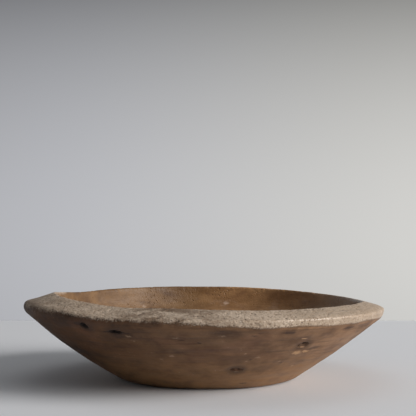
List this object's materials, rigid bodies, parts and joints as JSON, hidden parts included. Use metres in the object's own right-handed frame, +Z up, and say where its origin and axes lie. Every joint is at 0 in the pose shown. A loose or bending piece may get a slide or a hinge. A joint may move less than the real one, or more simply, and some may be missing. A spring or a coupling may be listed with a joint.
{
  "type": "carved wooden bowl",
  "caption": "Shallow hand-hewn wooden bowl: flared wall on a flat foot, broad uneven rim sloping outwards, dished hollow, and small dead knots in the wall.",
  "frame": {"origin": "on the ground under the foot, below the middle of the rim's bounding box", "axes": "+X along the grain, which is the bowl's longest way; +Y across the grain, away from the side with the knots; +Z up, out of the hollow"},
  "size_m": [0.3436, 0.3314, 0.0832],
  "materials": {
    "bowl_wood": "worn, dry and matt; the hollow slightly polished by use",
    "knot_wood": "dry end grain, matt"
  },
  "bodies": {
    "root": {"bowl": "bowl_wood", "knot_under_rim": "knot_wood", "knot_split": "knot_wood", "knot_torn": "knot_wood", "knot_low": "knot_wood"}
  },
  "joints": []
}
